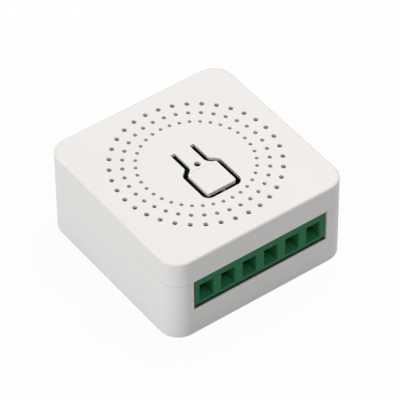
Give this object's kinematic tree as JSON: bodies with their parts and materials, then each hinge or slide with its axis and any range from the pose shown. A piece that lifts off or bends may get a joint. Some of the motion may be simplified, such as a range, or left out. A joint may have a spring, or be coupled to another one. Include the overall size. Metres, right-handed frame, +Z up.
{
  "type": "smart relay module",
  "caption": "Small square white relay module with rings of vent holes, a sprung tongue button and a row of green screw terminals in one side.",
  "frame": {"origin": "centre of the underside of the case", "axes": "+Z up out of the button face, -Y out of the face with the wire entries, +X along their row"},
  "size_m": [0.041, 0.041, 0.0198],
  "materials": {
    "white_shell": "fine satin",
    "green_block": "satin",
    "clamp_brass": "bright",
    "guard_steel": "zinc plated",
    "screw_steel": "zinc plated",
    "board_laminate": "solder mask",
    "solder": "bright",
    "relay_case": "moulded",
    "relay_base": "moulded",
    "bobbin_plastic": "moulded",
    "copper_wire": "enamelled",
    "relay_iron": "nickel plated",
    "contact_copper": "bright",
    "tinned_pin": "tinned",
    "switch_plastic": "moulded",
    "switch_steel": "satin",
    "plunger_plastic": "moulded",
    "light_resin": "clear resin",
    "capacitor_sleeve": "sleeve",
    "varistor_epoxy": "epoxy",
    "resistor_coat": "coated",
    "chip_resin": "moulded",
    "ferrite": "sintered",
    "shield_tin": "tinned",
    "chip_ceramic": "fired"
  },
  "bodies": {
    "case": {"top_cover": "white_shell", "base_shell": "white_shell", "terminal_housing": "green_block", "terminal_clamps": "clamp_brass", "main_board": "board_laminate", "radio_board": "board_laminate", "solder_joints": "solder", "relay_1_case": "relay_case", "relay_2_case": "relay_case", "relay_1_base": "relay_base", "relay_2_base": "relay_base", "relay_1_bobbin": "bobbin_plastic", "relay_2_bobbin": "bobbin_plastic", "relay_1_coil": "copper_wire", "relay_2_coil": "copper_wire", "inductor_winding": "copper_wire", "relay_1_yoke": "relay_iron", "relay_2_yoke": "relay_iron", "relay_1_fixed_contact": "contact_copper", "relay_2_fixed_contact": "contact_copper", "relay_1_pins": "tinned_pin", "relay_2_pins": "tinned_pin", "radio_pins": "tinned_pin", "switch_body": "switch_plastic", "switch_frame": "switch_steel", "status_light": "light_resin", "bulk_capacitor": "capacitor_sleeve", "output_capacitor": "capacitor_sleeve", "surge_varistor": "varistor_epoxy", "fuse_resistor": "resistor_coat", "bridge_rectifier": "chip_resin", "power_chip": "chip_resin", "inductor_core": "ferrite", "radio_shield": "shield_tin", "small_parts": "chip_ceramic"},
    "button": {"press_button": "white_shell"},
    "plunger": {"switch_plunger": "plunger_plastic"},
    "guard_1": {"wire_guard_1": "guard_steel"},
    "screw_1": {"terminal_screw_1": "screw_steel"},
    "guard_2": {"wire_guard_2": "guard_steel"},
    "screw_2": {"terminal_screw_2": "screw_steel"},
    "guard_3": {"wire_guard_3": "guard_steel"},
    "screw_3": {"terminal_screw_3": "screw_steel"},
    "guard_4": {"wire_guard_4": "guard_steel"},
    "screw_4": {"terminal_screw_4": "screw_steel"},
    "guard_5": {"wire_guard_5": "guard_steel"},
    "screw_5": {"terminal_screw_5": "screw_steel"},
    "guard_6": {"wire_guard_6": "guard_steel"},
    "screw_6": {"terminal_screw_6": "screw_steel"},
    "armature_1": {"relay_1_armature": "relay_iron", "relay_1_contact_blade": "contact_copper"},
    "armature_2": {"relay_2_armature": "relay_iron", "relay_2_contact_blade": "contact_copper"}
  },
  "joints": [
    {"name": "button_press", "type": "hinge", "parent": "case", "child": "button", "pos_m": [0, 0.00455, 0.01883], "axis": [1, 0, 0], "range_deg": [0, 1.72], "stiffness_Nm_per_rad": 0.4},
    {"name": "plunger_travel", "type": "slide", "parent": "case", "child": "plunger", "axis": [0, 0, -1], "range_m": [0, 0.0003], "stiffness_N_per_m": 500},
    {"name": "guard_lift_1", "type": "slide", "parent": "case", "child": "guard_1", "axis": [0, 0, 1], "range_m": [0, 0.00315]},
    {"name": "screw_turn_1", "type": "hinge", "parent": "guard_1", "child": "screw_1", "pos_m": [-0.0125, -0.0146, 0.005], "axis": [0, 0, 1], "range_deg": [0, 2520]},
    {"name": "guard_lift_2", "type": "slide", "parent": "case", "child": "guard_2", "axis": [0, 0, 1], "range_m": [0, 0.00315]},
    {"name": "screw_turn_2", "type": "hinge", "parent": "guard_2", "child": "screw_2", "pos_m": [-0.0075, -0.0146, 0.005], "axis": [0, 0, 1], "range_deg": [0, 2520]},
    {"name": "guard_lift_3", "type": "slide", "parent": "case", "child": "guard_3", "axis": [0, 0, 1], "range_m": [0, 0.00315]},
    {"name": "screw_turn_3", "type": "hinge", "parent": "guard_3", "child": "screw_3", "pos_m": [-0.0025, -0.0146, 0.005], "axis": [0, 0, 1], "range_deg": [0, 2520]},
    {"name": "guard_lift_4", "type": "slide", "parent": "case", "child": "guard_4", "axis": [0, 0, 1], "range_m": [0, 0.00315]},
    {"name": "screw_turn_4", "type": "hinge", "parent": "guard_4", "child": "screw_4", "pos_m": [0.0025, -0.0146, 0.005], "axis": [0, 0, 1], "range_deg": [0, 2520]},
    {"name": "guard_lift_5", "type": "slide", "parent": "case", "child": "guard_5", "axis": [0, 0, 1], "range_m": [0, 0.00315]},
    {"name": "screw_turn_5", "type": "hinge", "parent": "guard_5", "child": "screw_5", "pos_m": [0.0075, -0.0146, 0.005], "axis": [0, 0, 1], "range_deg": [0, 2520]},
    {"name": "guard_lift_6", "type": "slide", "parent": "case", "child": "guard_6", "axis": [0, 0, 1], "range_m": [0, 0.00315]},
    {"name": "screw_turn_6", "type": "hinge", "parent": "guard_6", "child": "screw_6", "pos_m": [0.0125, -0.0146, 0.005], "axis": [0, 0, 1], "range_deg": [0, 2520]},
    {"name": "armature_swing_1", "type": "hinge", "parent": "case", "child": "armature_1", "pos_m": [-0.0126, 0.00353, 0.00482], "axis": [1, 0, 0], "range_deg": [0, 3.5], "stiffness_Nm_per_rad": 0.02, "springref_deg": -1.15},
    {"name": "armature_swing_2", "type": "hinge", "parent": "case", "child": "armature_2", "pos_m": [-0.0016, 0.00353, 0.00482], "axis": [1, 0, 0], "range_deg": [0, 3.5], "stiffness_Nm_per_rad": 0.02, "springref_deg": -1.15}
  ],
  "couplings": [
    {"joint": "button_press", "follows": "plunger_travel", "rad_per_m": 99.5},
    {"joint": "screw_turn_1", "follows": "guard_lift_1", "rad_per_m": 13963},
    {"joint": "screw_turn_2", "follows": "guard_lift_2", "rad_per_m": 13963},
    {"joint": "screw_turn_3", "follows": "guard_lift_3", "rad_per_m": 13963},
    {"joint": "screw_turn_4", "follows": "guard_lift_4", "rad_per_m": 13963},
    {"joint": "screw_turn_5", "follows": "guard_lift_5", "rad_per_m": 13963},
    {"joint": "screw_turn_6", "follows": "guard_lift_6", "rad_per_m": 13963}
  ]
}
